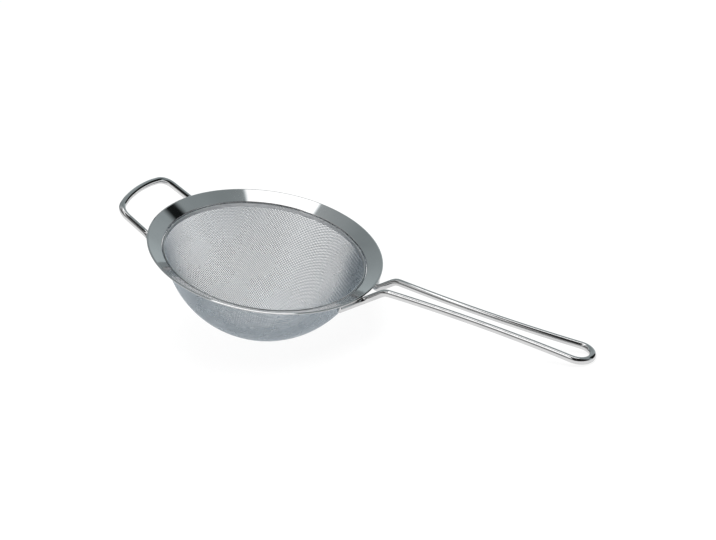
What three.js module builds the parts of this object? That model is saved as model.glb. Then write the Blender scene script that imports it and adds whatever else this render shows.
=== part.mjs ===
// Fine mesh sieve: a dished sheet rim, a woven wire bowl held in it by a clamp ring,
// a long hairpin handle bent from one rod, and a short rest loop on the opposite side.
// Millimetres, +Z up. Each piece is modelled about the axis of the rim, with the top of
// the rim at height 0 and the handle along +X. The sieve is then laid down as it rests
// on a table, on the bottom of its bowl and the tip of its handle.
import * as THREE from "three";

// Rim: a flat land outside, a flange sloping down and in, and a short upright lip
const RIM_RADIUS = 100;
const RIM_SHEET = 1;
const LAND_WIDTH = 1.2;
const FLANGE_WIDTH = 13;
const FLANGE_DROP = 6.2;
const LIP_HEIGHT = 2.2;

// Clamp ring and bowl: the cloth is held between the lip and the ring
const FIT_GAP = 0.3;
const CLOTH_THICKNESS = 0.8;
const RING_THICKNESS = 0.8;
const RING_HEIGHT = 3.6;
const BOWL_DEPTH = 77;
const WALL_LEAN = THREE.MathUtils.degToRad(24.4);

// Openings of the cloth: a square grid along and across the handle, coarser than the weave
const GRID_ACROSS = 12;
const GRID_BAR = 5;

// Rods of the handle and the loop: their feet run along the underside of the flange
const ROD_DIAMETER = 6;
const BEND_RADIUS = 8;
const WELD_LENGTH = 9;
const WELD_LEG = 2.6;

// Handle: two legs, waisted in the middle, joined by a round tip
const HANDLE_INSET = 3.5;
const HANDLE_FOOT = 2.5;
const HANDLE_ROOT_HALF = 10.8;
const HANDLE_WAIST_HALF = 8.2;
const HANDLE_TIP_HALF = 12;
const HANDLE_RAMP = THREE.MathUtils.degToRad(41.5);
const HANDLE_RAMP_TOP = 8.9;
const HANDLE_LENGTH = 163.5;
const HANDLE_RISE = 7;

// Rest loop: two legs rising from the rim to a bowed bar
const LOOP_INSET = 7.2;
const LOOP_FOOT = 4;
const LOOP_RUN_OUT = 7.2;
const LOOP_ROOT_HALF = 37.5;
const LOOP_BAR_HALF = 36;
const LOOP_RAMP = THREE.MathUtils.degToRad(22);
const LOOP_BAR_TOP = 4.6;
const LOOP_CORNER_RADIUS = 12;
const LOOP_BOW = 5.6;

// Fineness of the facets
const RIM_SEGMENTS = 96;
const EDGE_STEPS = 2;
const SAME_PLACE = 0.01;
const ROD_SIDES = 12;
const ROD_STEP = 3.5;
const LEG_POINTS = 16;
const TIP_POINTS = 10;

// Sizes that follow from the ones above
const ROD_RADIUS = ROD_DIAMETER / 2;
const LIP_INNER = RIM_RADIUS - FLANGE_WIDTH;
const LIP_OUTER = LIP_INNER + RIM_SHEET;
const SLOPE = Math.atan2(FLANGE_DROP, FLANGE_WIDTH - LAND_WIDTH);
const HEM_OUTER = LIP_INNER - FIT_GAP;
const HEM_INNER = HEM_OUTER - CLOTH_THICKNESS;
const HEM_TOP = -FLANGE_DROP - FIT_GAP;
const HEM_BOTTOM = HEM_TOP - RING_HEIGHT;
const RING_OUTER = HEM_INNER - FIT_GAP;

// Height of the underside of the flange at a radius
function undersideAt(radius) {
  const topAt = -(RIM_RADIUS - LAND_WIDTH - radius) * Math.tan(SLOPE);
  return topAt - RIM_SHEET / Math.cos(SLOPE);
}

// Height of the middle of a foot that lies under the flange, a fitting gap below it
function footHeight(radius) {
  return undersideAt(radius) - (ROD_RADIUS + FIT_GAP) / Math.cos(SLOPE);
}

const at = (x, y, z) => new THREE.Vector3(x, y, z);
const flat = (x, y) => new THREE.Vector2(x, y);

const polished = () =>
  new THREE.MeshStandardMaterial({ color: 0xc6cacd, roughness: 0.16, metalness: 1 });
const woven = () =>
  new THREE.MeshStandardMaterial({ color: 0xb4b9bd, roughness: 0.42, metalness: 1 });
const welded = () =>
  new THREE.MeshStandardMaterial({ color: 0xa6a39d, roughness: 0.5, metalness: 1 });

function named(name, geometry, material) {
  const mesh = new THREE.Mesh(geometry, material);
  mesh.name = name;
  return mesh;
}

// A body turned about the rim's axis from points of radius and height
function turned(profile, segments) {
  const points = profile.map(([radius, height]) => new THREE.Vector2(radius, height));
  return new THREE.LatheGeometry(points, segments).rotateX(Math.PI / 2);
}

function rimGeometry() {
  const edgeInner =
    RIM_RADIUS - LAND_WIDTH + (RIM_SHEET * (1 / Math.cos(SLOPE) - 1)) / Math.tan(SLOPE);
  const lipBottom = -FLANGE_DROP - LIP_HEIGHT;
  const profile = [
    [LIP_INNER, lipBottom],
    [LIP_OUTER, lipBottom],
    [LIP_OUTER, undersideAt(LIP_OUTER)],
    [edgeInner, -RIM_SHEET],
    [RIM_RADIUS, -RIM_SHEET],
    [RIM_RADIUS, 0],
    [RIM_RADIUS - LAND_WIDTH, 0],
    [LIP_INNER, -FLANGE_DROP],
    [LIP_INNER, lipBottom],
  ];
  return turned(profile, RIM_SEGMENTS);
}

function ringGeometry() {
  const inner = RING_OUTER - RING_THICKNESS;
  const profile = [
    [inner, HEM_BOTTOM],
    [RING_OUTER, HEM_BOTTOM],
    [RING_OUTER, HEM_TOP],
    [inner, HEM_TOP],
    [inner, HEM_BOTTOM],
  ];
  return turned(profile, RIM_SEGMENTS);
}

// Middle of the cloth: an upright hem, a leaning wall, and a round bottom that meets it smoothly
const HEM_MIDDLE = (HEM_OUTER + HEM_INNER) / 2;
const BOTTOM_RADIUS =
  (HEM_MIDDLE * Math.cos(WALL_LEAN) - (BOWL_DEPTH + HEM_BOTTOM) * Math.sin(WALL_LEAN)) /
  (1 - Math.sin(WALL_LEAN));
const BOTTOM_CENTRE = BOTTOM_RADIUS - BOWL_DEPTH;

// Length of the cloth from the middle of the bottom to the end of its round part, and to the hem
const ROUND_LENGTH = BOTTOM_RADIUS * (Math.PI / 2 - WALL_LEAN);
const CLOTH_LENGTH =
  ROUND_LENGTH + (HEM_MIDDLE - BOTTOM_RADIUS * Math.cos(WALL_LEAN)) / Math.sin(WALL_LEAN);

// The openings end half a bar below the hem
const GRID_PITCH = (2 * CLOTH_LENGTH) / GRID_ACROSS;
const GRID_REACH = CLOTH_LENGTH - GRID_BAR / 2;

// A point on a face of the bowl, from its place on the flat cloth and its height above the middle
function onCloth(place, above) {
  const along = place.length();
  const turn = Math.min(along, ROUND_LENGTH) / BOTTOM_RADIUS;
  const wall = Math.max(along - ROUND_LENGTH, 0);
  const radius = (BOTTOM_RADIUS - above) * Math.sin(turn) + wall * Math.cos(turn);
  const height = (BOTTOM_RADIUS - above) * Math.cos(turn) - wall * Math.sin(turn);
  const spread = along > 0 ? radius / along : 0;
  return at(place.x * spread, place.y * spread, BOTTOM_CENTRE - height);
}

// Far end of a square of the flat cloth: its corner, or the arc where a circle cuts it short
function farEnd(x, y, side, reach) {
  const corner = flat(x + side, y + side);
  if (corner.length() < reach) return [corner];
  const right = Math.min(x + side, Math.sqrt(reach ** 2 - y ** 2));
  const top = Math.min(y + side, Math.sqrt(reach ** 2 - x ** 2));
  const start = Math.acos(right / reach);
  const end = Math.asin(top / reach);
  const arc = [];
  for (let k = 0; k <= EDGE_STEPS; k += 1) {
    const angle = start + ((end - start) * k) / EDGE_STEPS;
    arc.push(flat(Math.cos(angle), Math.sin(angle)).multiplyScalar(reach));
  }
  return arc;
}

// Outline of the square from its corner nearest the middle, with a point halfway along each side
function squareOutline(x, y, end) {
  const corners = [flat(x, end.at(-1).y), flat(x, y), flat(end[0].x, y)];
  const halfway = (a, b) => a.clone().lerp(b, 0.5);
  const outline = [
    corners[0],
    halfway(corners[0], corners[1]),
    corners[1],
    halfway(corners[1], corners[2]),
    corners[2],
    halfway(corners[2], end[0]),
    ...end,
    halfway(end.at(-1), corners[0]),
  ];
  return outline.filter((place, k) => place.distanceTo(outline.at(k - 1)) > SAME_PLACE);
}

// Outline of the opening in a square; one that would be narrower than a bar stays closed
function openingOutline(x, y) {
  const near = flat(x + GRID_BAR / 2, y + GRID_BAR / 2);
  if (near.length() > GRID_REACH - GRID_BAR) return [];
  const end = farEnd(near.x, near.y, GRID_PITCH - GRID_BAR, GRID_REACH);
  const outline = [flat(near.x, end.at(-1).y), near, flat(end[0].x, near.y), ...end];
  return outline.filter((place, k) => place.distanceTo(outline.at(k - 1)) > SAME_PLACE);
}

// An outline in another quarter of the cloth, still drawn anticlockwise
function inQuarter(outline, quarter) {
  const moved = outline.map((place) => place.clone().multiply(quarter));
  return quarter.x * quarter.y > 0 ? moved : moved.reverse();
}

// Triangles between an outline and the opening or the one point inside it
function filled(outline, inner) {
  const gap = (place) => place.distanceTo(outline[0]);
  const first = inner.reduce((best, place, k) => (gap(place) < gap(inner[best]) ? k : best), 0);
  const outerAt = (k) => outline[k % outline.length];
  const innerAt = (k) => inner[(first + k) % inner.length];
  const innerSteps = inner.length > 1 ? inner.length : 0;
  const triangles = [];
  let i = 0;
  let j = 0;
  while (i < outline.length || j < innerSteps) {
    const outerSpan = outerAt(i + 1).distanceTo(innerAt(j));
    const innerSpan = outerAt(i).distanceTo(innerAt(j + 1));
    if (j === innerSteps || (i < outline.length && outerSpan <= innerSpan)) {
      triangles.push([outerAt(i), outerAt(i + 1), innerAt(j)]);
      i += 1;
    } else {
      triangles.push([outerAt(i), innerAt(j + 1), innerAt(j)]);
      j += 1;
    }
  }
  return triangles;
}

const insideAt = (place) => onCloth(place, CLOTH_THICKNESS / 2);
const outsideAt = (place) => onCloth(place, -CLOTH_THICKNESS / 2);

// Both faces of one square of the cloth, and the walls of its opening
function addSquare(corners, outline, opening) {
  const middle = outline.reduce((sum, place) => sum.add(place), flat(0, 0));
  const inner = opening.length > 0 ? opening : [middle.divideScalar(outline.length)];
  for (const [a, b, c] of filled(outline, inner)) {
    corners.push(insideAt(a), insideAt(b), insideAt(c));
    corners.push(outsideAt(a), outsideAt(c), outsideAt(b));
  }
  opening.forEach((place, k) => {
    const next = opening[(k + 1) % opening.length];
    addQuad(corners, insideAt(place), insideAt(next), outsideAt(next), outsideAt(place));
  });
}

function addQuad(corners, a, b, c, d) {
  corners.push(a, b, c, a, c, d);
}

// The upright hem above one step of the edge of the cloth
function addHem(corners, from, to) {
  const ends = [from, to].map((place) => {
    const out = at(place.x, place.y, 0).normalize();
    const top = (radius) => out.clone().multiplyScalar(radius).setZ(HEM_TOP);
    return [outsideAt(place), top(HEM_OUTER), top(HEM_INNER), insideAt(place)];
  });
  for (let k = 0; k < 3; k += 1) {
    addQuad(corners, ends[0][k], ends[1][k], ends[1][k + 1], ends[0][k + 1]);
  }
}

// The cloth is drawn flat as a grid of squares, one quarter at a time, and bent to the bowl
function bowlGeometry() {
  const corners = [];
  const quarters = [flat(1, 1), flat(-1, 1), flat(-1, -1), flat(1, -1)];
  for (let x = 0; x < CLOTH_LENGTH - SAME_PLACE; x += GRID_PITCH) {
    for (let y = 0; Math.hypot(x, y) < CLOTH_LENGTH - SAME_PLACE; y += GRID_PITCH) {
      const end = farEnd(x, y, GRID_PITCH, CLOTH_LENGTH);
      for (const quarter of quarters) {
        const outline = inQuarter(squareOutline(x, y, end), quarter);
        addSquare(corners, outline, inQuarter(openingOutline(x, y), quarter));
        const edge = inQuarter(end, quarter);
        for (let k = 1; k < edge.length; k += 1) addHem(corners, edge[k - 1], edge[k]);
      }
    }
  }
  const geometry = new THREE.BufferGeometry().setFromPoints(corners);
  geometry.computeVertexNormals();
  return geometry;
}

// Points along straight runs, with each inner corner rounded to its own radius
function rounded(corners) {
  const path = [corners[0].point];
  for (let i = 1; i < corners.length - 1; i += 1) {
    const { point, radius } = corners[i];
    const back = corners[i - 1].point.clone().sub(point).normalize();
    const ahead = corners[i + 1].point.clone().sub(point).normalize();
    const turn = Math.PI - back.angleTo(ahead);
    const centre = back.clone().add(ahead).normalize();
    centre.multiplyScalar(radius / Math.cos(turn / 2)).add(point);
    const start = point.clone().addScaledVector(back, radius * Math.tan(turn / 2));
    const spoke = start.clone().sub(centre);
    const axis = back.clone().negate().cross(ahead).normalize();
    const steps = Math.ceil((turn * radius) / ROD_STEP) + 1;
    for (let k = 0; k <= steps; k += 1) {
      path.push(spoke.clone().applyAxisAngle(axis, (turn * k) / steps).add(centre));
    }
  }
  path.push(corners[corners.length - 1].point);
  return path;
}

const corner = (point, radius) => ({ point, radius });

// Where a foot turns outward and up: the leg clears the edge of the rim, or runs out further
function turnOut(inset, half, ramp, runOut = 0) {
  const height = footHeight(RIM_RADIUS - inset);
  const edge = Math.sqrt(RIM_RADIUS ** 2 - half ** 2);
  const below = -RIM_SHEET - height;
  const clear = (ROD_RADIUS + 2 * FIT_GAP - below * Math.cos(ramp)) / Math.sin(ramp);
  return at(edge + clear + runOut, half, height);
}

// Angle round the rim at which a foot leaves it, straight for its turn
function leaveAngle(inset, turn) {
  return Math.atan2(turn.y, turn.x) + Math.acos((RIM_RADIUS - inset) / Math.hypot(turn.x, turn.y));
}

// A foot along the rim, from its cut end to where it leaves
function foot(inset, length, turn) {
  const radius = RIM_RADIUS - inset;
  const leave = leaveAngle(inset, turn);
  const steps = Math.ceil(length / ROD_STEP);
  const run = [];
  for (let k = 0; k <= steps; k += 1) {
    const angle = leave + (length / radius) * (1 - k / steps);
    run.push(at(radius * Math.cos(angle), radius * Math.sin(angle), turn.z));
  }
  return run;
}

// The other half of a path that is the same on both sides of the handle's middle
function mirrored(half) {
  return half.map((p) => at(p.x, -p.y, p.z)).reverse();
}

// A round rod bent along a path
function rodGeometry(path) {
  const curve = new THREE.CatmullRomCurve3(path, false, "centripetal");
  const section = new THREE.Shape().absarc(0, 0, ROD_RADIUS, 0, 2 * Math.PI);
  curve.arcLengthDivisions = path.length * 8;
  return new THREE.ExtrudeGeometry(section, {
    extrudePath: curve,
    steps: Math.round(curve.getLength() / ROD_STEP),
    curveSegments: ROD_SIDES / 2,
    bevelEnabled: false,
  });
}

// The handle's straight part: how far out its root is, and its middle line from there
const handleTurn = turnOut(HANDLE_INSET, HANDLE_ROOT_HALF, HANDLE_RAMP);
const handleRoot = at(
  handleTurn.x + (HANDLE_RAMP_TOP - handleTurn.z) / Math.tan(HANDLE_RAMP),
  HANDLE_ROOT_HALF,
  HANDLE_RAMP_TOP,
);
const handleLine = at(HANDLE_LENGTH, 0, HANDLE_RISE);

// A point of the handle at a distance along its middle line and to one side of it
function onHandle(distance, side) {
  const along = handleLine.clone().normalize();
  return handleRoot.clone().setY(side).addScaledVector(along, distance);
}

// One leg, drawn in to the waist, and half of the round tip that it runs into
function legAndTip() {
  const length = handleLine.length();
  const pull = 2 * HANDLE_WAIST_HALF - (HANDLE_ROOT_HALF + HANDLE_TIP_HALF) / 2;
  const splay = Math.asin(HANDLE_TIP_HALF / Math.hypot(length / 2, pull)) - Math.atan2(pull, length / 2);
  const endAlong = length - HANDLE_TIP_HALF * Math.sin(splay);
  const endSide = HANDLE_TIP_HALF * Math.cos(splay);
  const points = [];
  for (let k = 1; k <= LEG_POINTS; k += 1) {
    const t = k / LEG_POINTS;
    const along = t * (1 - t) * length + t * t * endAlong;
    const side = (1 - t) ** 2 * HANDLE_ROOT_HALF + 2 * t * (1 - t) * pull + t * t * endSide;
    points.push(onHandle(along, side));
  }
  for (let k = 1; k <= TIP_POINTS; k += 1) {
    const angle = (Math.PI / 2 + splay) * (1 - k / TIP_POINTS);
    const along = length + HANDLE_TIP_HALF * Math.cos(angle);
    points.push(onHandle(along, HANDLE_TIP_HALF * Math.sin(angle)));
  }
  return points;
}

// Half of the handle's path: foot, ramp over the rim, leg, and half of the tip
function handleHalf() {
  const run = foot(HANDLE_INSET, HANDLE_FOOT, handleTurn);
  const leg = legAndTip();
  const bends = rounded([
    corner(run[run.length - 1], 0),
    corner(handleTurn, BEND_RADIUS),
    corner(handleRoot, BEND_RADIUS),
    corner(leg[0], 0),
  ]);
  return [...run.slice(0, -1), ...bends, ...leg.slice(1)];
}

function handleGeometry() {
  const half = handleHalf();
  return rodGeometry([...half, ...mirrored(half).slice(1)]);
}

const loopTurn = turnOut(LOOP_INSET, LOOP_ROOT_HALF, LOOP_RAMP, LOOP_RUN_OUT);

// Half of the loop's path, drawn towards +X: foot, leg, and half of the bowed bar
function loopHalf() {
  const run = foot(LOOP_INSET, LOOP_FOOT, loopTurn);
  const rise = LOOP_BAR_TOP - loopTurn.z;
  const end = at(loopTurn.x + rise / Math.tan(LOOP_RAMP), LOOP_BAR_HALF, LOOP_BAR_TOP);
  const out = at(Math.cos(LOOP_RAMP), 0, Math.sin(LOOP_RAMP));
  const bar = [0.55, 0.28, 0].map((share) =>
    end.clone().setY(share * LOOP_BAR_HALF).addScaledVector(out, LOOP_BOW * (1 - share ** 2)),
  );
  const bends = rounded([
    corner(run[run.length - 1], 0),
    corner(loopTurn, BEND_RADIUS),
    corner(end, LOOP_CORNER_RADIUS),
    corner(bar[0], 0),
  ]);
  return [...run.slice(0, -1), ...bends, ...bar.slice(1)];
}

function loopGeometry() {
  const half = loopHalf();
  return rodGeometry([...half, ...mirrored(half).slice(1)]).rotateZ(Math.PI);
}

// A weld bead in the crevice inside a foot, between the rod and the underside of the flange
function weldGeometry() {
  const touch = Math.PI / 2 + SLOPE;
  const spread = Math.atan2(WELD_LEG, ROD_RADIUS);
  const onBead = (radius, angle) =>
    new THREE.Vector2(radius * Math.cos(touch + angle), radius * Math.sin(touch + angle));
  const outline = [];
  for (let k = 0; k <= 6; k += 1) {
    outline.push(onBead(ROD_RADIUS + FIT_GAP, spread * (0.55 + (0.6 * k) / 6)));
  }
  for (const angle of [spread, spread * 0.55]) {
    outline.push(onBead((ROD_RADIUS + FIT_GAP / 2) / Math.cos(angle), angle));
  }
  const bead = new THREE.ExtrudeGeometry(new THREE.Shape(outline), {
    depth: WELD_LENGTH,
    bevelEnabled: false,
  });
  return bead.translate(0, 0, -WELD_LENGTH / 2);
}

// A weld bead beside a foot, at an angle round the rim
function weld(name, inset, angle) {
  const mesh = named(name, weldGeometry(), welded());
  const outward = at(Math.cos(angle), Math.sin(angle), 0);
  const up = at(0, 0, 1);
  const place = new THREE.Matrix4().makeBasis(outward, up, outward.clone().cross(up));
  const radius = RIM_RADIUS - inset;
  place.setPosition(outward.multiplyScalar(radius).setZ(footHeight(radius)));
  mesh.applyMatrix4(place);
  return mesh;
}

const handleWeld = leaveAngle(HANDLE_INSET, handleTurn);
const loopWeld = leaveAngle(LOOP_INSET, loopTurn);

const sieve = new THREE.Group();
sieve.add(
  named("rim_flange", rimGeometry(), polished()),
  named("clamp_ring", ringGeometry(), polished()),
  named("mesh_bowl", bowlGeometry(), woven()),
  named("long_handle", handleGeometry(), polished()),
  named("rest_loop", loopGeometry(), polished()),
  weld("weld_handle_near", HANDLE_INSET, -handleWeld),
  weld("weld_handle_far", HANDLE_INSET, handleWeld),
  weld("weld_loop_near", LOOP_INSET, Math.PI + loopWeld),
  weld("weld_loop_far", LOOP_INSET, Math.PI - loopWeld),
);

// Tilt that puts the bottom of the bowl and the tip of the handle on one level
const tip = onHandle(handleLine.length() + HANDLE_TIP_HALF, 0);
const above = tip.z - BOTTOM_CENTRE;
const drop = BOTTOM_RADIUS + CLOTH_THICKNESS / 2 - ROD_RADIUS;
sieve.rotation.y = Math.atan2(above, tip.x) + Math.asin(drop / Math.hypot(tip.x, above));

// The origin is under the middle of the sieve, on the table
const box = new THREE.Box3().setFromObject(sieve, true);
const middle = box.getCenter(new THREE.Vector3());
sieve.position.set(-middle.x, -middle.y, -box.min.z);

const part = new THREE.Group();
part.add(sieve);

export default part;
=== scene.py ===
"""Looks of the fine mesh sieve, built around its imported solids.

Each piece is drawn in the sieve's own frame, in millimetres about the axis of the rim, with the
top of the rim at height 0 and the handle along +X. It is then laid down as the solids lie.
"""

import math

import bpy
import numpy as np
from mathutils import Matrix, Vector


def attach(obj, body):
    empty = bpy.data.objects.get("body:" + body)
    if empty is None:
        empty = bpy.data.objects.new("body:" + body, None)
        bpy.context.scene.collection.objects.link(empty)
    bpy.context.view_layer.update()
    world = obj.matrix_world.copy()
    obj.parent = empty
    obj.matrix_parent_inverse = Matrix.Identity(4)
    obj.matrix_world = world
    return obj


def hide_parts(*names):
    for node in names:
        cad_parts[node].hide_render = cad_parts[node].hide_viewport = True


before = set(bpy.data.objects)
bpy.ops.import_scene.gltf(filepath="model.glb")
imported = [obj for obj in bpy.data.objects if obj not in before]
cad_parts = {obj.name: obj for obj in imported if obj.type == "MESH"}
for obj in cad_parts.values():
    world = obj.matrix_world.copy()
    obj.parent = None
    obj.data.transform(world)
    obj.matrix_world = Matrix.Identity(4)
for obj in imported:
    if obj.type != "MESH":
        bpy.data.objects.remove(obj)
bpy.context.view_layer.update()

# How the sieve lies: tilted about Y, with the centre of the rim here, in metres
TILT = math.radians(18.08287)
RIM_CENTRE = (-0.0810063, 0.0, 0.0778658)

# Rim and clamp ring, in millimetres: the rim's outer edge is turned down by EDGE_DROP
RIM_RADIUS = 100.0
RIM_SHEET = 1.0
LAND_WIDTH = 1.2
FLANGE_WIDTH = 13.0
FLANGE_DROP = 6.2
LIP_HEIGHT = 2.2
EDGE_DROP = 0.48
FIT_GAP = 0.3
CLOTH_THICKNESS = 0.8
RING_THICKNESS = 0.8
RING_HEIGHT = 3.6
RIM_SEGMENTS = 320

# Woven bowl: WIRE_LIFT draws the weave in, so that its outside is flush with the solid cloth's
BOWL_DEPTH = 77.0
WALL_LEAN = math.radians(24.4)
WIRE_PITCH = 1.45
WIRE_RADIUS = 0.26
WEAVE_TURN = math.radians(3.0)
WIRE_LIFT = 2 * WIRE_RADIUS - CLOTH_THICKNESS / 2

# Rods of the handle and the loop
ROD_RADIUS = 3.0
ROD_SIDES = 28
ROD_STEP = 0.8
ROD_SOFTENING = 6
BEND_RADIUS = 8.0
CUT_ROUND = 0.35
CUT_RINGS = 5
CUT_ANGLE = math.radians(50)
FOOT_POINTS = 5
HANDLE_INSET = 3.5
HANDLE_FOOT = 2.5
HANDLE_ROOT_HALF = 10.8
HANDLE_WAIST_HALF = 8.2
HANDLE_TIP_HALF = 12.0
HANDLE_RAMP = math.radians(41.5)
HANDLE_RAMP_TOP = 8.9
HANDLE_LENGTH = 163.5
HANDLE_RISE = 7.0
LEG_POINTS = 60
TIP_POINTS = 32
LOOP_INSET = 7.2
LOOP_FOOT = 4.0
LOOP_RUN_OUT = 7.2
LOOP_ROOT_HALF = 37.5
LOOP_BAR_HALF = 36.0
LOOP_RAMP = math.radians(22.0)
LOOP_BAR_TOP = 4.6
LOOP_CORNER_RADIUS = 12.0
LOOP_BOW = 5.6
BAR_SHARE = 0.55
BAR_POINTS = 12

# Welds under the flange
WELD_LENGTH = 9.0
WELD_RADIUS = 1.0
WELD_OFFSET = 0.85
WELD_LEAN = 0.8
WELD_RIPPLE = 1.2
WELD_RIPPLE_DEPTH = 0.09
WELD_DRIFT = 0.12
WELD_WIDTH = 1.15
WELD_LEAST = 0.04
WELD_RINGS, WELD_SIDES = 48, 16

# Sizes that follow from the ones above
LIP_INNER = RIM_RADIUS - FLANGE_WIDTH
LIP_OUTER = LIP_INNER + RIM_SHEET
SLOPE = math.atan2(FLANGE_DROP, FLANGE_WIDTH - LAND_WIDTH)
HEM_OUTER = LIP_INNER - FIT_GAP
HEM_MIDDLE = HEM_OUTER - CLOTH_THICKNESS / 2
HEM_TOP = -FLANGE_DROP - FIT_GAP
HEM_BOTTOM = HEM_TOP - RING_HEIGHT
RING_OUTER = HEM_OUTER - CLOTH_THICKNESS - FIT_GAP
BOTTOM_RADIUS = (
    HEM_MIDDLE * math.cos(WALL_LEAN) - (BOWL_DEPTH + HEM_BOTTOM) * math.sin(WALL_LEAN)
) / (1 - math.sin(WALL_LEAN))
BOTTOM_CENTRE = BOTTOM_RADIUS - BOWL_DEPTH

MM_PER_METRE = 1000
LAY = Matrix.Translation(RIM_CENTRE) @ Matrix.Rotation(TILT, 4, "Y")


# Meshes

def piece(name, points, faces, material, nodes, normals=None):
    """A mesh from points in the sieve's frame, laid down, which stands for some nodes."""
    laid = np.array(LAY)
    points = np.asarray(points, float) / MM_PER_METRE @ laid[:3, :3].T + laid[:3, 3]
    mesh = bpy.data.meshes.new(name)
    mesh.from_pydata(points.tolist(), [], faces)
    mesh.polygons.foreach_set("use_smooth", [True] * len(mesh.polygons))
    mesh.materials.append(material)
    mesh.update()
    if normals is not None:
        mesh.normals_split_custom_set_from_vertices((np.asarray(normals) @ laid[:3, :3].T).tolist())
    made = bpy.data.objects.new(name, mesh)
    bpy.context.scene.collection.objects.link(made)
    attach(made, "root")
    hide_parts(*nodes)
    return made


def unit(vector):
    return vector / np.linalg.norm(vector)


def rounded_outline(corners, steps=6):
    """Points and outward normals of a closed outline, whose corners are (radius, height, rounding)."""
    points, normals = [], []
    places = [np.array(corner[:2]) for corner in corners]
    for i, (here, (_, _, rounding)) in enumerate(zip(places, corners)):
        before = unit(here - places[i - 1])
        after = unit(places[(i + 1) % len(places)] - here)
        start = math.atan2(-before[0], before[1])
        turn = math.atan2(before[0] * after[1] - before[1] * after[0], before @ after)
        inward = unit(after - before)
        centre = here + inward * rounding / math.cos(turn / 2)
        for k in range(steps + 1):
            angle = start + turn * k / steps
            normal = np.array([math.cos(angle), math.sin(angle)])
            points.append(centre + math.copysign(rounding, turn) * normal)
            normals.append(normal)
    return np.array(points), np.array(normals)


def turned(outline, normals, segments):
    """A closed outline of radius and height, turned about the rim's axis."""
    angles = np.arange(segments) * 2 * math.pi / segments
    spokes = np.stack([np.cos(angles), np.sin(angles)], axis=1)
    count = len(outline)

    def spun(pairs):
        flat = pairs[None, :, :1] * spokes[:, None, :]
        height = np.broadcast_to(pairs[None, :, 1:], (segments, count, 1))
        return np.concatenate([flat, height], axis=2).reshape(-1, 3)

    faces = []
    for i in range(segments):
        a, b = i * count, (i + 1) % segments * count
        for k in range(count):
            n = (k + 1) % count
            faces.append((a + k, b + k, b + n, a + n))
    return spun(outline), faces, spun(normals)


# Rim and clamp ring

def underside_at(radius):
    top = -(RIM_RADIUS - LAND_WIDTH - radius) * math.tan(SLOPE)
    return top - RIM_SHEET / math.cos(SLOPE)


def foot_height(radius):
    return underside_at(radius) - (ROD_RADIUS + FIT_GAP) / math.cos(SLOPE)


def make_rim(material):
    edge_inner = RIM_RADIUS - LAND_WIDTH
    edge_inner += RIM_SHEET * (1 / math.cos(SLOPE) - 1) / math.tan(SLOPE)
    lip_bottom = -FLANGE_DROP - LIP_HEIGHT
    outline, normals = rounded_outline([
        (LIP_INNER, lip_bottom, 0.35),
        (LIP_OUTER, lip_bottom, 0.35),
        (LIP_OUTER, underside_at(LIP_OUTER), 0.4),
        (edge_inner, -RIM_SHEET, 0.5),
        (RIM_RADIUS, -RIM_SHEET, 0.12),
        (RIM_RADIUS, -EDGE_DROP, 0.2),
        (RIM_RADIUS - LAND_WIDTH, 0.0, 0.9),
        (LIP_INNER, -FLANGE_DROP, 0.8),
    ])
    points, faces, normals = turned(outline, normals, RIM_SEGMENTS)
    return piece("rim_sheet", points, faces, material, ["rim_flange"], normals)


def make_ring(material):
    inner = RING_OUTER - RING_THICKNESS
    outline, normals = rounded_outline([
        (inner, HEM_BOTTOM, 0.35),
        (RING_OUTER, HEM_BOTTOM, 0.2),
        (RING_OUTER, HEM_TOP, 0.2),
        (inner, HEM_TOP, 0.35),
    ])
    points, faces, normals = turned(outline, normals, RIM_SEGMENTS)
    return piece("hem_ring", points, faces, material, ["clamp_ring"], normals)


# Woven bowl

ARC_END = BOTTOM_RADIUS * (math.pi / 2 - WALL_LEAN)
ARC_TOP = np.array([math.cos(WALL_LEAN), -math.sin(WALL_LEAN)]) * BOTTOM_RADIUS
ARC_TOP = ARC_TOP + [0.0, BOTTOM_CENTRE]
WALL_WAY = np.array([math.sin(WALL_LEAN), math.cos(WALL_LEAN)])
WALL_END = ARC_END + (HEM_BOTTOM - ARC_TOP[1]) / math.cos(WALL_LEAN)
CLOTH_END = WALL_END + RING_HEIGHT


def cloth_profile(along):
    """Radius, height and outward normal of the cloth at a distance up from the middle of its bottom."""
    turn = np.minimum(along, ARC_END) / BOTTOM_RADIUS
    wall = np.clip(along, ARC_END, WALL_END) - ARC_END
    hem = np.maximum(along, WALL_END) - WALL_END
    radius = BOTTOM_RADIUS * np.sin(turn) + wall * WALL_WAY[0]
    height = BOTTOM_CENTRE - BOTTOM_RADIUS * np.cos(turn) + wall * WALL_WAY[1] + hem
    lean = np.where(along > WALL_END, math.pi / 2, turn)
    return radius, height, np.sin(lean), -np.cos(lean)


def on_cloth(along, angle):
    radius, height, _, _ = cloth_profile(along)
    return np.stack([radius * np.cos(angle), radius * np.sin(angle), height], axis=-1)


def meet(first, second, along, angle):
    """Where two wires cross next: on the cloth, a pitch away from each of two crossings."""
    step = 1e-4
    for _ in range(8):
        here = on_cloth(along, angle)
        slopes = [(on_cloth(along + step, angle) - here) / step,
                  (on_cloth(along, angle + step) - here) / step]
        gaps = [here - first, here - second]
        lengths = [np.linalg.norm(gap, axis=1) for gap in gaps]
        rows = [[(gap * slope).sum(1) / length for slope in slopes]
                for gap, length in zip(gaps, lengths)]
        off = [length - WIRE_PITCH for length in lengths]
        det = rows[0][0] * rows[1][1] - rows[0][1] * rows[1][0]
        along = along - (off[0] * rows[1][1] - off[1] * rows[0][1]) / det
        angle = angle - (off[1] * rows[0][0] - off[0] * rows[1][0]) / det
    return along, angle


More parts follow.
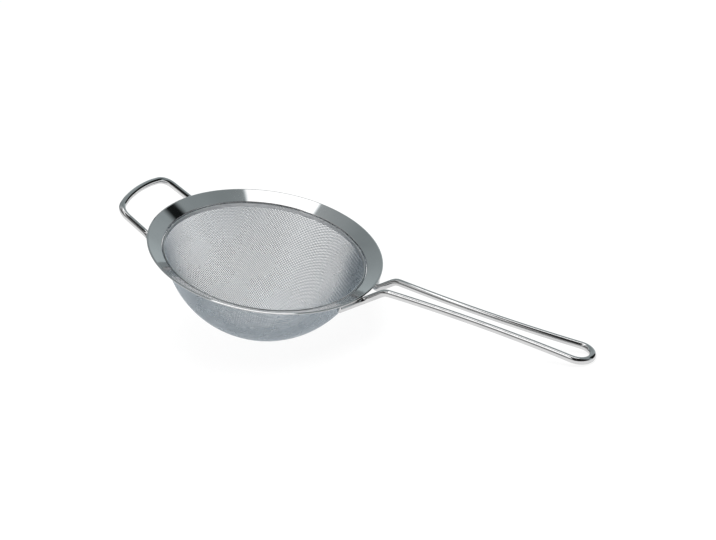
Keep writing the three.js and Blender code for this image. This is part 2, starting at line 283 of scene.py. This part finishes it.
def draped_net():
    """Crossings over a quarter of the bowl. Every cell keeps its four sides, and skews where it must."""
    count = int(CLOTH_END / WIRE_PITCH) + 3
    along = np.full((count, count), np.nan)
    angle = np.full((count, count), np.nan)
    along[:, 0] = along[0, :] = np.arange(count) * WIRE_PITCH
    angle[1:, 0] = 0.0
    angle[0, 1:] = math.pi / 2
    angle[0, 0] = 0.0
    for ring in range(2, 2 * count - 1):
        i = np.arange(max(1, ring - count + 1), min(ring, count))
        j = ring - i
        ready = ~np.isnan(along[i - 1, j]) & ~np.isnan(along[i, j - 1])
        ready &= np.minimum(along[i - 1, j], along[i, j - 1]) < CLOTH_END + 2 * WIRE_PITCH
        i, j = i[ready], j[ready]
        if not len(i):
            break
        first = on_cloth(along[i - 1, j], angle[i - 1, j])
        second = on_cloth(along[i, j - 1], angle[i, j - 1])
        guess = (along[i - 1, j] + along[i, j - 1]) / 2 + WIRE_PITCH * 0.7
        between = np.arctan2(first[:, 1] + second[:, 1], first[:, 0] + second[:, 0])
        along[i, j], angle[i, j] = meet(first, second, guess, between)
    return along, angle


def whole_net():
    """Crossings over the whole bowl, by row and column, with nothing past the end of the cloth."""
    along, angle = draped_net()
    last = len(along) - 1
    index = np.arange(-last, last + 1)
    rows, columns = np.meshgrid(index, index, indexing="ij")
    far = along[np.abs(rows), np.abs(columns)]
    turn = angle[np.abs(rows), np.abs(columns)]
    way = np.arctan2(np.sin(turn) * np.where(columns < 0, -1, 1), np.cos(turn) * np.where(rows < 0, -1, 1))
    return far, way


def wire_runs(far, way):
    """Each wire of one set of parallel wires: its points, normals, and which side it passes."""
    runs = []
    last = len(far) // 2
    for row in range(len(far)):
        inside = np.flatnonzero(~np.isnan(far[row]) & (far[row] <= CLOTH_END))
        if len(inside) < 3:
            continue
        keep = np.arange(inside[0], inside[-1] + 1)
        distance, angle = far[row, keep], way[row, keep] + WEAVE_TURN
        radius, height, out, up = cloth_profile(distance)
        points = np.stack([radius * np.cos(angle), radius * np.sin(angle), height], axis=1)
        normals = np.stack([out * np.cos(angle), out * np.sin(angle), up], axis=1)
        points -= normals * (WIRE_LIFT * np.clip((WALL_END - distance) / WIRE_PITCH, 0, 1))[:, None]
        side = np.where((keep + row) % 2 == 0, 1.0, -1.0)
        runs.append((points, normals, side, row - last))
    return runs


def wire_tube(points, normals, side):
    """Four-sided tube through the crossings of one wire, over and under the wires it meets."""
    middle = points + normals * (side * WIRE_RADIUS)[:, None]
    way = np.gradient(middle, axis=0)
    across = np.cross(way, normals)
    across /= np.linalg.norm(across, axis=1)[:, None]
    over = np.cross(across, way)
    over /= np.linalg.norm(over, axis=1)[:, None]
    corners = [middle + WIRE_RADIUS * shift for shift in (over, across, -over, -across)]
    return np.stack(corners, axis=1).reshape(-1, 3)


def scattered(number):
    """A fixed value from 0 to 1 for a wire, with no pattern from one wire to the next."""
    return (math.sin(number * 12.9898) * 43758.5453) % 1.0


def make_wires(name, far, way, flip, material):
    points, faces, shades = [], [], []
    start = 0
    for run, normals, side, number in wire_runs(far, way):
        tube = wire_tube(run, normals, side * flip)
        points.append(tube)
        shades.append(np.full(len(tube), scattered(number)))
        for k in range(len(run) - 1):
            a = start + 4 * k
            faces += [(a + m, a + (m + 1) % 4, a + 4 + (m + 1) % 4, a + 4 + m) for m in range(4)]
        end = start + len(tube)
        faces += [(start + 3, start + 2, start + 1, start), (end - 4, end - 3, end - 2, end - 1)]
        start = end
    made = piece(name, np.concatenate(points), faces, material, ["mesh_bowl"])
    shade = made.data.attributes.new("wire_shade", "FLOAT", "POINT")
    shade.data.foreach_set("value", np.concatenate(shades).astype(np.float32))
    return made


# Rods

def rounded_path(corners, step=0.9):
    """Points along straight runs, with each inner corner (point, rounding) turned on an arc."""
    path = [corners[0][0]]
    for (before, _), (point, rounding), (after, _) in zip(corners, corners[1:], corners[2:]):
        back, ahead = unit(before - point), unit(after - point)
        turn = math.pi - math.acos(back @ ahead)
        centre = point + unit(back + ahead) * rounding / math.cos(turn / 2)
        spoke = point + back * rounding * math.tan(turn / 2) - centre
        rise = -back * rounding
        steps = math.ceil(turn * rounding / step) + 1
        for k in range(steps + 1):
            angle = turn * k / steps
            path.append(centre + spoke * math.cos(angle) + rise * math.sin(angle))
    path.append(corners[-1][0])
    return path


def turn_out(inset, half, ramp, run_out=0.0):
    """Where a foot turns up into its ramp, so that the ramp clears the edge of the rim."""
    height = foot_height(RIM_RADIUS - inset)
    edge = math.sqrt(RIM_RADIUS**2 - half**2)
    below = -RIM_SHEET - height
    clear = (ROD_RADIUS + 2 * FIT_GAP - below * math.cos(ramp)) / math.sin(ramp)
    return np.array([edge + clear + run_out, half, height])


def leave_angle(inset, turn):
    """Angle round the rim at which a foot leaves it, straight for its turn."""
    return math.atan2(turn[1], turn[0]) + math.acos((RIM_RADIUS - inset) / math.hypot(turn[0], turn[1]))


def foot(inset, length, turn):
    """A foot along the rim, from its cut end to where it leaves."""
    radius = RIM_RADIUS - inset
    angles = leave_angle(inset, turn) + length / radius * np.linspace(1, 0, FOOT_POINTS)
    return [np.array([radius * math.cos(a), radius * math.sin(a), turn[2]]) for a in angles]


def both_halves(half):
    return np.array(half + [p * [1, -1, 1] for p in reversed(half[:-1])])


HANDLE_TURN = turn_out(HANDLE_INSET, HANDLE_ROOT_HALF, HANDLE_RAMP)
LOOP_TURN = turn_out(LOOP_INSET, LOOP_ROOT_HALF, LOOP_RAMP, LOOP_RUN_OUT)


def handle_path():
    """Foot, ramp over the rim, leg drawn in to the waist, and the round tip."""
    ramp_run = (HANDLE_RAMP_TOP - HANDLE_TURN[2]) / math.tan(HANDLE_RAMP)
    root = np.array([HANDLE_TURN[0] + ramp_run, 0.0, HANDLE_RAMP_TOP])
    length = math.hypot(HANDLE_LENGTH, HANDLE_RISE)
    line = np.array([HANDLE_LENGTH, 0.0, HANDLE_RISE]) / length
    sideways = np.array([0.0, 1.0, 0.0])
    pull = 2 * HANDLE_WAIST_HALF - (HANDLE_ROOT_HALF + HANDLE_TIP_HALF) / 2
    splay = math.asin(HANDLE_TIP_HALF / math.hypot(length / 2, pull)) - math.atan2(pull, length / 2)
    end_along = length - HANDLE_TIP_HALF * math.sin(splay)
    end_side = HANDLE_TIP_HALF * math.cos(splay)
    leg = []
    for t in np.linspace(0, 1, LEG_POINTS + 1)[1:]:
        along = t * (1 - t) * length + t * t * end_along
        side = (1 - t) ** 2 * HANDLE_ROOT_HALF + 2 * t * (1 - t) * pull + t * t * end_side
        leg.append(root + line * along + sideways * side)
    for angle in np.linspace(math.pi / 2 + splay, 0, TIP_POINTS + 1)[1:]:
        along = length + HANDLE_TIP_HALF * math.cos(angle)
        leg.append(root + line * along + sideways * HANDLE_TIP_HALF * math.sin(angle))
    run = foot(HANDLE_INSET, HANDLE_FOOT, HANDLE_TURN)
    top = root + sideways * HANDLE_ROOT_HALF
    bends = rounded_path([(run[-1], 0), (HANDLE_TURN, BEND_RADIUS), (top, BEND_RADIUS), (leg[2], 0)])
    return both_halves(run[:-1] + bends + leg[3:])


def loop_path():
    """Foot, rising leg, rounded corner and bowed bar, on the side away from the handle."""
    run = foot(LOOP_INSET, LOOP_FOOT, LOOP_TURN)
    out = np.array([math.cos(LOOP_RAMP), 0.0, math.sin(LOOP_RAMP)])
    far = LOOP_TURN[0] + (LOOP_BAR_TOP - LOOP_TURN[2]) / math.tan(LOOP_RAMP)
    end = np.array([far, LOOP_BAR_HALF, LOOP_BAR_TOP])
    shares = np.linspace(BAR_SHARE, 0, BAR_POINTS)
    bar = [end * [1, share, 1] + out * LOOP_BOW * (1 - share**2) for share in shares]
    bends = rounded_path([(run[-1], 0), (LOOP_TURN, BEND_RADIUS), (end, LOOP_CORNER_RADIUS), (bar[0], 0)])
    return both_halves(run[:-1] + bends + bar[1:]) * [-1, -1, 1]


def spaced(path, step):
    """The same path with points a set step apart."""
    lengths = np.concatenate([[0.0], np.cumsum(np.linalg.norm(np.diff(path, axis=0), axis=1))])
    places = np.linspace(0, lengths[-1], round(lengths[-1] / step) + 1)
    return np.stack([np.interp(places, lengths, path[:, k]) for k in range(3)], axis=1), places


def softened(path, passes):
    """Rounds the small kinks where arcs meet straight runs."""
    for _ in range(passes):
        path[1:-1] = (path[:-2] + 2 * path[1:-1] + path[2:]) / 4
    return path


def rod_rings(path, places):
    """Centres, radii and distances of the rings of a rod, with its two cut ends rounded off."""
    ease = [(1 - math.cos(a), math.sin(a)) for a in np.linspace(0, math.pi / 2, CUT_RINGS)]
    ends = [(CUT_ROUND * back, ROD_RADIUS - CUT_ROUND * (1 - out)) for back, out in ease]
    first, last = unit(path[1] - path[0]), unit(path[-1] - path[-2])
    middle = slice(2, -2)
    centres = [path[0] + first * back for back, _ in ends] + list(path[middle])
    centres += [path[-1] - last * back for back, _ in reversed(ends)]
    cut = [out for _, out in ends]
    radii = cut + [ROD_RADIUS] * len(path[middle]) + cut[::-1]
    runs = [places[0]] * CUT_RINGS + list(places[middle]) + [places[-1]] * CUT_RINGS
    return np.array(centres), np.array(radii), np.array(runs)


def make_rod(name, path, material, node):
    path, _ = spaced(path, ROD_STEP)
    path, places = spaced(softened(path, ROD_SOFTENING), ROD_STEP)
    centres, radii, runs = rod_rings(path, places)
    ways = np.gradient(centres, axis=0)
    ways /= np.linalg.norm(ways, axis=1)[:, None]
    angles = np.arange(ROD_SIDES) * 2 * math.pi / ROD_SIDES
    side = unit(np.cross(ways[0], [0.0, 0.0, 1.0]))
    points, straight = [], []
    for centre, way, radius, run in zip(centres, ways, radii, runs):
        side = unit(side - way * (side @ way))
        top = np.cross(way, side)
        ring = np.cos(angles)[:, None] * side + np.sin(angles)[:, None] * top
        points.append(centre + radius * ring)
        out = radius / MM_PER_METRE
        straight += [(run / MM_PER_METRE, out * math.cos(a), out * math.sin(a)) for a in angles]
    points = np.concatenate(points)
    faces = []
    for k in range(len(centres) - 1):
        for m in range(ROD_SIDES):
            n = (m + 1) % ROD_SIDES
            a, b = k * ROD_SIDES, (k + 1) * ROD_SIDES
            faces.append((a + m, a + n, b + n, b + m))
    faces.append(tuple(reversed(range(ROD_SIDES))))
    faces.append(tuple(range(len(points) - ROD_SIDES, len(points))))
    made = piece(name, points, faces, material, [node])
    made.data.set_sharp_from_angle(angle=CUT_ANGLE)
    run = made.data.attributes.new("rod_run", "FLOAT_VECTOR", "POINT")
    run.data.foreach_set("vector", np.array(straight, np.float32).ravel())
    return made


# Welds

def make_weld(name, inset, angle, material):
    """A rippled bead in the crevice between a foot and the underside of the flange."""
    radius = RIM_RADIUS - inset
    lean = math.pi / 2 + SLOPE + WELD_LEAN
    reach = ROD_RADIUS + WELD_OFFSET
    inward = radius + reach * math.cos(lean)
    height = foot_height(radius) + reach * math.sin(lean)
    points, faces = [], []
    for k in range(WELD_RINGS + 1):
        along = (k / WELD_RINGS - 0.5) * WELD_LENGTH
        taper = math.sqrt(max(0.0, 1 - (2 * k / WELD_RINGS - 1) ** 6))
        wave = 2 * math.pi * along / WELD_RIPPLE + 0.8 * math.sin(along)
        ripple = 1 + WELD_RIPPLE_DEPTH * math.sin(wave)
        size = max(WELD_LEAST, WELD_RADIUS * taper * ripple)
        turn = angle + along / radius
        drift = WELD_DRIFT * math.sin(1.7 * along + angle)
        for m in range(WELD_SIDES):
            a = 2 * math.pi * m / WELD_SIDES
            out = inward + drift + size * WELD_WIDTH * math.cos(a)
            points.append((out * math.cos(turn), out * math.sin(turn), height + size * math.sin(a)))
    for k in range(WELD_RINGS):
        for m in range(WELD_SIDES):
            n = (m + 1) % WELD_SIDES
            a, b = k * WELD_SIDES, (k + 1) * WELD_SIDES
            faces.append((a + m, b + m, b + n, a + n))
    faces.append(tuple(range(WELD_SIDES)))
    faces.append(tuple(reversed(range(WELD_RINGS * WELD_SIDES, len(points)))))
    return piece(name.replace("weld", "bead"), points, faces, material, [name])


# Materials

class Graph:
    """A material or world whose nodes are added one call each."""

    def __init__(self, owner):
        owner.use_nodes = True
        self.tree = owner.node_tree
        self.tree.nodes.clear()

    def add(self, kind, inputs=None, **settings):
        node = self.tree.nodes.new(kind)
        for key, value in settings.items():
            setattr(node, key, value)
        for key, value in (inputs or {}).items():
            if isinstance(value, bpy.types.NodeSocket):
                self.tree.links.new(value, node.inputs[key])
            else:
                node.inputs[key].default_value = value
        return node

    def math(self, operation, first, second=0.0, third=0.0):
        inputs = {0: first, 1: second, 2: third}
        return self.add("ShaderNodeMath", inputs, operation=operation).outputs[0]

    def ranged(self, value, low, high, to_low, to_high, smooth=False):
        inputs = {"Value": value, "From Min": low, "From Max": high, "To Min": to_low, "To Max": to_high}
        kind = "SMOOTHSTEP" if smooth else "LINEAR"
        return self.add("ShaderNodeMapRange", inputs, interpolation_type=kind).outputs["Result"]

    def noise(self, vector, scale, detail=2.0):
        inputs = {"Vector": vector, "Scale": scale, "Detail": detail}
        return self.add("ShaderNodeTexNoise", inputs).outputs["Fac"]

    def ramp(self, value, stops):
        node = self.add("ShaderNodeValToRGB", {"Fac": value})
        elements = node.color_ramp.elements
        for element, (place, colour) in zip(elements, stops[:2]):
            element.position, element.color = place, (*colour, 1.0)
        for place, colour in stops[2:]:
            elements.new(place).color = (*colour, 1.0)
        return node.outputs["Color"]

    def bump(self, height, distance, strength, normal=None):
        inputs = {"Height": height, "Distance": distance, "Strength": strength}
        if normal is not None:
            inputs["Normal"] = normal
        return self.add("ShaderNodeBump", inputs).outputs["Normal"]

    def metal(self, colour, roughness, normal):
        inputs = {"Base Color": colour, "Roughness": roughness, "Normal": normal, "Metallic": 1.0}
        shader = self.add("ShaderNodeBsdfPrincipled", inputs).outputs["BSDF"]
        self.add("ShaderNodeOutputMaterial", {"Surface": shader})


def sieve_place(graph):
    """Place in the sieve's own frame, in metres."""
    place = graph.add("ShaderNodeTexCoord").outputs["Object"]
    inputs = {"Vector": place, "Location": RIM_CENTRE, "Rotation": (0.0, TILT, 0.0)}
    return graph.add("ShaderNodeMapping", inputs, vector_type="TEXTURE").outputs["Vector"]


def polish_lines(graph, place):
    """Fine rings left by turning the rim against a polishing wheel, broken up round the rim."""
    x, y, z = graph.add("ShaderNodeSeparateXYZ", {"Vector": place}).outputs
    squares = graph.math("ADD", graph.math("POWER", x, 2.0), graph.math("POWER", y, 2.0))
    out, high = (graph.math("MULTIPLY", part, 4200.0) for part in (graph.math("SQRT", squares), z))
    section = graph.add("ShaderNodeCombineXYZ", {"X": out, "Y": high, "Z": 0.0}).outputs[0]
    rings = graph.noise(section, 1.0, 3.0)
    patches = graph.ranged(graph.noise(place, 60.0), 0.35, 0.65, 0.25, 1.0)
    return graph.math("MULTIPLY", rings, patches)


def polished_sheet(name, tone, roughness):
    material = bpy.data.materials.new(name)
    graph = Graph(material)
    place = sieve_place(graph)
    lines = polish_lines(graph, place)
    clouds = graph.noise(place, 38.0, 4.0)
    low, high = [c * 0.94 for c in tone], [min(1.0, c * 1.05) for c in tone]
    colour = graph.ramp(clouds, [(0.3, low), (0.7, high)])
    smudge = graph.ranged(clouds, 0.35, 0.7, roughness * 0.8, roughness * 1.3)
    rough = graph.math("ADD", smudge, graph.math("MULTIPLY", lines, 0.03))
    waves = graph.bump(graph.noise(place, 22.0, 1.0), 0.0004, 0.35)
    graph.metal(colour, rough, graph.bump(lines, 0.00001, 0.25, waves))
    return material


def polished_rod():
    material = bpy.data.materials.new("polished_rod")
    graph = Graph(material)
    run = graph.add("ShaderNodeAttribute", attribute_name="rod_run").outputs["Vector"]
    drawn = graph.add("ShaderNodeMapping", {"Vector": run, "Scale": (60.0, 5200.0, 5200.0)}).outputs["Vector"]
    lines = graph.noise(drawn, 1.0, 3.0)
    clouds = graph.noise(run, 55.0, 3.0)
    colour = graph.ramp(clouds, [(0.3, (0.57, 0.57, 0.575)), (0.7, (0.65, 0.65, 0.65))])
    rough = graph.math("ADD", graph.ranged(clouds, 0.3, 0.7, 0.03, 0.06), graph.math("MULTIPLY", lines, 0.03))
    waves = graph.bump(graph.noise(run, 90.0, 1.0), 0.0002, 0.3)
    graph.metal(colour, rough, graph.bump(lines, 0.00001, 0.2, waves))
    return material


def woven_wire():
    material = bpy.data.materials.new("woven_wire")
    graph = Graph(material)
    shade = graph.add("ShaderNodeAttribute", attribute_name="wire_shade").outputs["Fac"]
    place = sieve_place(graph)
    clouds = graph.noise(place, 45.0, 3.0)
    mixed = graph.math("ADD", graph.math("MULTIPLY", shade, 0.5), graph.math("MULTIPLY", clouds, 0.5))
    colour = graph.ramp(mixed, [(0.2, (0.455, 0.506, 0.55)), (0.8, (0.555, 0.606, 0.65))])
    rough = graph.ranged(clouds, 0.3, 0.7, 0.22, 0.34)
    graph.metal(colour, rough, graph.bump(graph.noise(place, 3000.0, 1.0), 0.00002, 0.2))
    return material


def weld_metal():
    material = bpy.data.materials.new("weld")
    graph = Graph(material)
    place = sieve_place(graph)
    tint = graph.noise(place, 260.0, 3.0)
    colour = graph.ramp(tint, [
        (0.3, (0.36, 0.35, 0.35)),
        (0.62, (0.5, 0.42, 0.31)),
        (0.45, (0.52, 0.51, 0.5)),
        (0.72, (0.3, 0.32, 0.42)),
    ])
    rough = graph.ranged(graph.noise(place, 700.0), 0.3, 0.7, 0.32, 0.55)
    graph.metal(colour, rough, graph.bump(graph.noise(place, 1400.0, 3.0), 0.0001, 0.5))
    return material


# Studio

FLOOR_GLOW = 0.86
LAMP_PLACE = (0.2, -0.3, 1.8)
LAMP_SIZE = (1.2, 1.8)
LAMP_POWER = 32.0

# Light of the dome: at the front by height, at the back, and from the softbox, whose limits are its
# distances across and along, over its height
FRONT_LIGHT = [(0.0, 0.9), (0.2, 0.66), (0.42, 0.48), (0.7, 0.66), (0.9, 0.8)]
BACK_LIGHT, BACK_LOW_LIGHT, BACK_FALL = 0.31, 0.32, 1.3
SOFTBOX_ACROSS, SOFTBOX_ALONG = (-0.06, 0.41), (-0.7, 0.36)
SOFTBOX_LIGHT = 1.4

# Dark screens of the dome: from which turn to which, from which height to which, and the light left
SCREENS = [
    ((28.0, 69.0), (0.0, 0.63), 0.03),
    ((-84.0, 13.0), (0.12, 1.1), 0.03),
    ((-122.0, -84.0), (0.3, 0.52), 0.15),
    ((-168.0, -112.0), (0.42, 0.86), 0.25),
    ((140.0, 179.0), (0.03, 0.55), 0.5),
]

# Camera: its turn, height and roll in degrees, and its place to the right, up and back in rim radii
CAMERA_ANGLES = (21.0, 31.0, 10.25)
CAMERA_PLACE = (0.775, -0.1905, 14.0)
CAMERA_LENS, CAMERA_SENSOR = 83.564, 36.0


def seen_by_eye(graph):
    """1 for what the camera sees straight, in a mirror or through the mesh."""
    path = graph.add("ShaderNodeLightPath").outputs
    eye = graph.math("MAXIMUM", path["Is Camera Ray"], path["Is Glossy Ray"])
    return graph.math("MAXIMUM", eye, path["Is Transmission Ray"])


def make_floor():
    bpy.ops.mesh.primitive_plane_add(size=24.0)
    floor = bpy.context.object
    floor.name = "floor"
    material = bpy.data.materials.new("floor")
    graph = Graph(material)
    plain = graph.add("ShaderNodeBsdfDiffuse", {"Color": (0.9, 0.9, 0.9, 1.0)}).outputs[0]
    glow = graph.add("ShaderNodeEmission", {"Color": (1.0, 1.0, 1.0, 1.0), "Strength": 1.0}).outputs[0]
    share = graph.math("MULTIPLY", seen_by_eye(graph), FLOOR_GLOW)
    mixed = graph.add("ShaderNodeMixShader", {0: share, 1: plain, 2: glow}).outputs[0]
    graph.add("ShaderNodeOutputMaterial", {"Surface": mixed})
    floor.data.materials.append(material)


def within(graph, value, low, high, blur):
    """1 between two limits, and 0 outside them, with blurred edges."""
    rise = graph.ranged(value, low - blur, low + blur, 0.0, 1.0)
    return graph.math("MULTIPLY", rise, graph.ranged(value, high - blur, high + blur, 1.0, 0.0))


def make_dome():
    """The studio that the polished metal mirrors: pale front, grey back, a softbox and screens."""
    bpy.ops.mesh.primitive_uv_sphere_add(segments=64, ring_count=32, radius=4.0, location=(0.0, 0.0, 0.0))
    dome = bpy.context.object
    dome.name = "studio_dome"
    material = bpy.data.materials.new("studio_dome")
    graph = Graph(material)
    place = graph.add("ShaderNodeTexCoord").outputs["Object"]
    way = graph.add("ShaderNodeVectorMath", {0: place}, operation="NORMALIZE").outputs[0]
    x, y, z = graph.add("ShaderNodeSeparateXYZ", {"Vector": way}).outputs
    low = graph.math("POWER", graph.math("SUBTRACT", 1.0, graph.math("MAXIMUM", z, 0.0)), BACK_FALL)
    behind = graph.math("MULTIPLY_ADD", low, BACK_LOW_LIGHT, BACK_LIGHT)
    front = graph.ranged(y, -0.3, 0.35, 1.0, 0.0, smooth=True)
    ahead = graph.ramp(z, [(height, (level,) * 3) for height, level in FRONT_LIGHT])
    light = graph.math("MULTIPLY_ADD", front, graph.math("SUBTRACT", ahead, behind), behind)
    up = graph.math("MAXIMUM", z, 0.05)
    across = within(graph, graph.math("DIVIDE", x, up), *SOFTBOX_ACROSS, 0.01)
    along = within(graph, graph.math("DIVIDE", y, up), *SOFTBOX_ALONG, 0.02)
    softbox = graph.math("MULTIPLY", across, along)
    turn = graph.math("ARCTAN2", y, x)
    dark = 1.0
    for (first, last), heights, share in SCREENS:
        edges = math.radians(first), math.radians(last)
        wide, high = within(graph, turn, *edges, 0.03), within(graph, z, *heights, 0.015)
        screen = graph.math("MULTIPLY", wide, high)
        dark = graph.math("MULTIPLY", dark, graph.math("MULTIPLY_ADD", screen, share - 1.0, 1.0))
    strength = graph.math("MULTIPLY", graph.math("MULTIPLY_ADD", softbox, SOFTBOX_LIGHT, light), dark)
    plain = graph.math("MAXIMUM", softbox, front)
    tint = graph.ramp(plain, [(0.0, (0.87, 0.98, 1.0)), (1.0, (1.0, 1.0, 1.0))])
    glow = graph.add("ShaderNodeEmission", {"Color": tint, "Strength": strength}).outputs[0]
    graph.add("ShaderNodeOutputMaterial", {"Surface": glow})
    dome.data.materials.append(material)
    dome.visible_camera = False
    dome.visible_diffuse = False
    dome.visible_shadow = False
    dome.visible_transmission = False


def make_lamp():
    lamp = bpy.data.lights.new("overhead", "AREA")
    lamp.shape = "RECTANGLE"
    lamp.size, lamp.size_y = LAMP_SIZE
    lamp.energy = LAMP_POWER
    made = bpy.data.objects.new("overhead", lamp)
    made.location = LAMP_PLACE
    made.rotation_euler = Vector(LAMP_PLACE).to_track_quat("Z", "Y").to_euler()
    made.visible_camera = False
    made.visible_glossy = False
    bpy.context.scene.collection.objects.link(made)


def make_world():
    world = bpy.data.worlds.new("studio")
    graph = Graph(world)
    glow = graph.add("ShaderNodeBackground", {"Color": (1.0, 1.0, 1.0, 1.0), "Strength": 1.0}).outputs[0]
    graph.add("ShaderNodeOutputWorld", {"Surface": glow})
    bpy.context.scene.world = world
    bpy.context.scene.view_settings.view_transform = "Standard"


def make_camera():
    """Camera of the photograph, given in the sieve's frame by its turn, height, roll and distance."""
    turn, height, roll = (math.radians(a) for a in CAMERA_ANGLES)
    flat = math.cos(height)
    back = Vector((math.sin(turn) * flat, -math.cos(turn) * flat, math.sin(height)))
    level = Vector((math.cos(turn), math.sin(turn), 0.0))
    steep = back.cross(level)
    right = math.cos(roll) * level + math.sin(roll) * steep
    up = math.cos(roll) * steep - math.sin(roll) * level
    far_right, far_up, far_back = CAMERA_PLACE
    place = (far_right * right + far_up * up + far_back * back) * RIM_RADIUS / MM_PER_METRE
    camera = bpy.data.cameras.new("camera")
    camera.lens = CAMERA_LENS
    camera.sensor_width = CAMERA_SENSOR
    made = bpy.data.objects.new("camera", camera)
    axes = Matrix((right, up, back)).transposed().to_4x4()
    made.matrix_world = LAY @ Matrix.Translation(place) @ axes
    bpy.context.scene.collection.objects.link(made)
    bpy.context.scene.camera = made


def main():
    make_camera()
    sheet = polished_sheet("polished_sheet", (0.6, 0.6, 0.605), 0.045)
    ring = polished_sheet("hem_ring", (0.78, 0.78, 0.785), 0.32)
    rod, wire, weld = polished_rod(), woven_wire(), weld_metal()
    make_rim(sheet)
    make_ring(ring)
    far, way = whole_net()
    make_wires("mesh_warp", far, way, 1.0, wire)
    make_wires("mesh_weft", far.T, way.T, -1.0, wire)
    make_rod("handle_rod", handle_path(), rod, "long_handle")
    make_rod("loop_rod", loop_path(), rod, "rest_loop")
    handle_weld = leave_angle(HANDLE_INSET, HANDLE_TURN)
    loop_weld = leave_angle(LOOP_INSET, LOOP_TURN)
    make_weld("weld_handle_near", HANDLE_INSET, -handle_weld, weld)
    make_weld("weld_handle_far", HANDLE_INSET, handle_weld, weld)
    make_weld("weld_loop_near", LOOP_INSET, math.pi + loop_weld, weld)
    make_weld("weld_loop_far", LOOP_INSET, math.pi - loop_weld, weld)
    make_floor()
    make_dome()
    make_lamp()
    make_world()


main()
